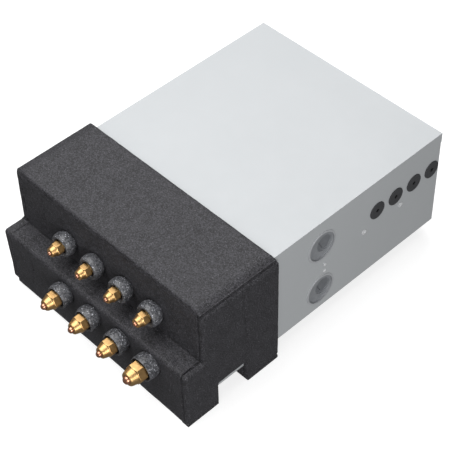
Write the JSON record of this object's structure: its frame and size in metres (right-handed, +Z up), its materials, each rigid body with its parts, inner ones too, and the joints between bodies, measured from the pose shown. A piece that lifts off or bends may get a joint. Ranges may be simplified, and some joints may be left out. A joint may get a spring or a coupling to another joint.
{
  "type": "refrigerant branch box",
  "caption": "Ceiling-hung refrigerant branch box: steel case, stepped foam-clad piping end with capped flare connections, side wire bushes and rear brazing sockets.",
  "frame": {"origin": "bottom centre of the whole box: mid width, mid length from the longest bonnet's tip to the trunk pipes' ends, on the plane under the foam feet", "axes": "+Z up, -Y towards the flare connections, +X to the side with the wire bushes"},
  "size_m": [0.35, 0.556, 0.192],
  "materials": {
    "closed_cell_foam": "matte",
    "sleeve_foam": "matte",
    "painted_steel": "satin",
    "galvanised_steel": "satin",
    "plated_screws": "satin",
    "grey_rubber": "matte",
    "black_rubber": "matte",
    "brass": "satin",
    "copper": "satin",
    "black_plastic": "satin",
    "board_green": "satin",
    "magnet": "satin",
    "needle_steel": "polished"
  },
  "bodies": {
    "root": {"top_foam_sheet": "closed_cell_foam", "right_side_foam": "closed_cell_foam", "left_side_foam": "closed_cell_foam", "upper_front_foam": "closed_cell_foam", "lower_front_foam": "closed_cell_foam", "rear_foot_foam": "closed_cell_foam", "base_foam_sheets": "closed_cell_foam", "liquid_sleeves": "sleeve_foam", "gas_sleeves": "sleeve_foam", "base_pan": "painted_steel", "right_side_panel": "painted_steel", "left_side_panel": "painted_steel", "rear_panel": "painted_steel", "front_panel": "painted_steel", "top_lid": "painted_steel", "control_box": "galvanised_steel", "control_box_lid": "galvanised_steel", "case_screws": "plated_screws", "bracket_nuts": "plated_screws", "side_rivets": "plated_screws", "wire_grommets": "black_rubber", "trunk_bushes": "black_rubber", "side_plugs": "grey_rubber", "flare_unions": "brass", "valve_bodies": "brass", "liquid_port_pipes": "copper", "gas_port_pipes": "copper", "gas_header": "copper", "gas_trunk_pipe": "copper", "liquid_header": "copper", "strainer": "copper", "liquid_trunk_pipe": "copper", "valve_coils": "black_plastic", "coil_leads": "black_plastic", "terminal_blocks": "black_plastic", "circuit_board": "board_green"},
    "liquid_bonnet_1": {"liquid_bonnet_1": "copper"},
    "liquid_nut_1": {"liquid_nut_1": "brass"},
    "liquid_bonnet_2": {"liquid_bonnet_2": "copper"},
    "liquid_nut_2": {"liquid_nut_2": "brass"},
    "liquid_bonnet_3": {"liquid_bonnet_3": "copper"},
    "liquid_nut_3": {"liquid_nut_3": "brass"},
    "liquid_bonnet_4": {"liquid_bonnet_4": "copper"},
    "liquid_nut_4": {"liquid_nut_4": "brass"},
    "gas_bonnet_1": {"gas_bonnet_1": "copper"},
    "gas_nut_1": {"gas_nut_1": "brass"},
    "gas_bonnet_2": {"gas_bonnet_2": "copper"},
    "gas_nut_2": {"gas_nut_2": "brass"},
    "gas_bonnet_3": {"gas_bonnet_3": "copper"},
    "gas_nut_3": {"gas_nut_3": "brass"},
    "gas_bonnet_4": {"gas_bonnet_4": "copper"},
    "gas_nut_4": {"gas_nut_4": "brass"},
    "valve_rotor_1": {"valve_rotor_1": "magnet"},
    "valve_needle_1": {"valve_needle_1": "needle_steel"},
    "valve_rotor_2": {"valve_rotor_2": "magnet"},
    "valve_needle_2": {"valve_needle_2": "needle_steel"},
    "valve_rotor_3": {"valve_rotor_3": "magnet"},
    "valve_needle_3": {"valve_needle_3": "needle_steel"},
    "valve_rotor_4": {"valve_rotor_4": "magnet"},
    "valve_needle_4": {"valve_needle_4": "needle_steel"}
  },
  "joints": [
    {"name": "liquid_bonnet_1_slide", "type": "slide", "parent": "root", "child": "liquid_bonnet_1", "axis": [0, -1, 0], "range_m": [0, 0.00889]},
    {"name": "liquid_nut_1_spin", "type": "hinge", "parent": "liquid_bonnet_1", "child": "liquid_nut_1", "pos_m": [-0.0755, -0.219, 0.1315], "axis": [0, -1, 0], "range_deg": [0, 2520]},
    {"name": "liquid_bonnet_2_slide", "type": "slide", "parent": "root", "child": "liquid_bonnet_2", "axis": [0, -1, 0], "range_m": [0, 0.00889]},
    {"name": "liquid_nut_2_spin", "type": "hinge", "parent": "liquid_bonnet_2", "child": "liquid_nut_2", "pos_m": [-0.0205, -0.219, 0.1315], "axis": [0, -1, 0], "range_deg": [0, 2520]},
    {"name": "liquid_bonnet_3_slide", "type": "slide", "parent": "root", "child": "liquid_bonnet_3", "axis": [0, -1, 0], "range_m": [0, 0.00889]},
    {"name": "liquid_nut_3_spin", "type": "hinge", "parent": "liquid_bonnet_3", "child": "liquid_nut_3", "pos_m": [0.0345, -0.219, 0.1315], "axis": [0, -1, 0], "range_deg": [0, 2520]},
    {"name": "liquid_bonnet_4_slide", "type": "slide", "parent": "root", "child": "liquid_bonnet_4", "axis": [0, -1, 0], "range_m": [0, 0.00889]},
    {"name": "liquid_nut_4_spin", "type": "hinge", "parent": "liquid_bonnet_4", "child": "liquid_nut_4", "pos_m": [0.0895, -0.219, 0.1315], "axis": [0, -1, 0], "range_deg": [0, 2520]},
    {"name": "gas_bonnet_1_slide", "type": "slide", "parent": "root", "child": "gas_bonnet_1", "axis": [0, -1, 0], "range_m": [0, 0.00988]},
    {"name": "gas_nut_1_spin", "type": "hinge", "parent": "gas_bonnet_1", "child": "gas_nut_1", "pos_m": [-0.055, -0.25, 0.073], "axis": [0, -1, 0], "range_deg": [0, 2520]},
    {"name": "gas_bonnet_2_slide", "type": "slide", "parent": "root", "child": "gas_bonnet_2", "axis": [0, -1, 0], "range_m": [0, 0.00988]},
    {"name": "gas_nut_2_spin", "type": "hinge", "parent": "gas_bonnet_2", "child": "gas_nut_2", "pos_m": [0, -0.25, 0.073], "axis": [0, -1, 0], "range_deg": [0, 2520]},
    {"name": "gas_bonnet_3_slide", "type": "slide", "parent": "root", "child": "gas_bonnet_3", "axis": [0, -1, 0], "range_m": [0, 0.00988]},
    {"name": "gas_nut_3_spin", "type": "hinge", "parent": "gas_bonnet_3", "child": "gas_nut_3", "pos_m": [0.055, -0.25, 0.073], "axis": [0, -1, 0], "range_deg": [0, 2520]},
    {"name": "gas_bonnet_4_slide", "type": "slide", "parent": "root", "child": "gas_bonnet_4", "axis": [0, -1, 0], "range_m": [0, 0.01112]},
    {"name": "gas_nut_4_spin", "type": "hinge", "parent": "gas_bonnet_4", "child": "gas_nut_4", "pos_m": [0.11, -0.25, 0.073], "axis": [0, -1, 0], "range_deg": [0, 2520]},
    {"name": "valve_rotor_1_spin", "type": "hinge", "parent": "root", "child": "valve_rotor_1", "pos_m": [-0.0755, -0.034, 0.13], "axis": [0, 0, 1], "range_deg": [0, 1872]},
    {"name": "valve_needle_1_slide", "type": "slide", "parent": "root", "child": "valve_needle_1", "axis": [0, 0, 1], "range_m": [0, 0.0026]},
    {"name": "valve_rotor_2_spin", "type": "hinge", "parent": "root", "child": "valve_rotor_2", "pos_m": [-0.0205, -0.034, 0.13], "axis": [0, 0, 1], "range_deg": [0, 1872]},
    {"name": "valve_needle_2_slide", "type": "slide", "parent": "root", "child": "valve_needle_2", "axis": [0, 0, 1], "range_m": [0, 0.0026]},
    {"name": "valve_rotor_3_spin", "type": "hinge", "parent": "root", "child": "valve_rotor_3", "pos_m": [0.0345, -0.034, 0.13], "axis": [0, 0, 1], "range_deg": [0, 1872]},
    {"name": "valve_needle_3_slide", "type": "slide", "parent": "root", "child": "valve_needle_3", "axis": [0, 0, 1], "range_m": [0, 0.0026]},
    {"name": "valve_rotor_4_spin", "type": "hinge", "parent": "root", "child": "valve_rotor_4", "pos_m": [0.0895, -0.034, 0.13], "axis": [0, 0, 1], "range_deg": [0, 1872]},
    {"name": "valve_needle_4_slide", "type": "slide", "parent": "root", "child": "valve_needle_4", "axis": [0, 0, 1], "range_m": [0, 0.0026]}
  ],
  "couplings": [
    {"joint": "liquid_bonnet_1_slide", "follows": "liquid_nut_1_spin", "m_per_rad": 0.00020213},
    {"joint": "liquid_bonnet_2_slide", "follows": "liquid_nut_2_spin", "m_per_rad": 0.00020213},
    {"joint": "liquid_bonnet_3_slide", "follows": "liquid_nut_3_spin", "m_per_rad": 0.00020213},
    {"joint": "liquid_bonnet_4_slide", "follows": "liquid_nut_4_spin", "m_per_rad": 0.00020213},
    {"joint": "gas_bonnet_1_slide", "follows": "gas_nut_1_spin", "m_per_rad": 0.00022457},
    {"joint": "gas_bonnet_2_slide", "follows": "gas_nut_2_spin", "m_per_rad": 0.00022457},
    {"joint": "gas_bonnet_3_slide", "follows": "gas_nut_3_spin", "m_per_rad": 0.00022457},
    {"joint": "gas_bonnet_4_slide", "follows": "gas_nut_4_spin", "m_per_rad": 0.00025274},
    {"joint": "valve_needle_1_slide", "follows": "valve_rotor_1_spin", "m_per_rad": 0.000079577},
    {"joint": "valve_needle_2_slide", "follows": "valve_rotor_2_spin", "m_per_rad": 0.000079577},
    {"joint": "valve_needle_3_slide", "follows": "valve_rotor_3_spin", "m_per_rad": 0.000079577},
    {"joint": "valve_needle_4_slide", "follows": "valve_rotor_4_spin", "m_per_rad": 0.000079577}
  ]
}
